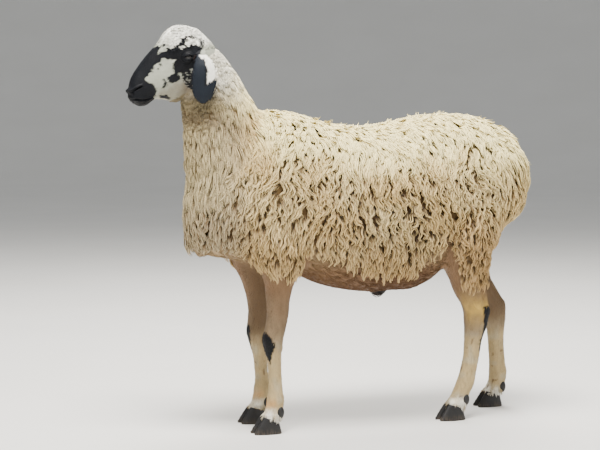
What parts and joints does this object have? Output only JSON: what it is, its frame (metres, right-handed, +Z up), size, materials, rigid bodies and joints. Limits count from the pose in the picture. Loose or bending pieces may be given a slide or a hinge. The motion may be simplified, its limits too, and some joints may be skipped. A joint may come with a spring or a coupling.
{
  "type": "fat-tailed sheep ram",
  "caption": "Standing fat-tailed meat sheep ram with a long shaggy cream fleece, a black and white head, drooping ears and no horns, posed square with its head up.",
  "frame": {"origin": "on the floor, at the middle of the ram's bounding box, below the barrel of the body", "axes": "the ram faces -X, its left side is at -Y, and +Z is up from the floor it stands on"},
  "size_m": [1.216, 0.4246, 1.137],
  "materials": {
    "fleece": "long wavy wool locks",
    "short_hair": "short hair",
    "ear_hair": "short dark hair",
    "skin": "bare dark skin",
    "hoof": "dark horn",
    "eye": "wet"
  },
  "bodies": {
    "root": {"claw_fore_left_inner": "hoof", "claw_fore_left_outer": "hoof", "claw_fore_right_inner": "hoof", "claw_fore_right_outer": "hoof", "claw_hind_left_inner": "hoof", "claw_hind_left_outer": "hoof", "claw_hind_right_inner": "hoof", "claw_hind_right_outer": "hoof", "dewclaw_fore_left_inner": "hoof", "dewclaw_fore_left_outer": "hoof", "dewclaw_fore_right_inner": "hoof", "dewclaw_fore_right_outer": "hoof", "dewclaw_hind_left_inner": "hoof", "dewclaw_hind_left_outer": "hoof", "dewclaw_hind_right_inner": "hoof", "dewclaw_hind_right_outer": "hoof", "ear_left": "ear_hair", "ear_right": "ear_hair", "eye_left": "eye", "eye_right": "eye", "foreleg_left": "short_hair", "foreleg_right": "short_hair", "head": "short_hair", "hindleg_left": "short_hair", "hindleg_right": "short_hair", "neck": "fleece", "scrotum": "short_hair", "sheath": "skin", "tail": "fleece", "torso": "fleece"}
  },
  "joints": []
}
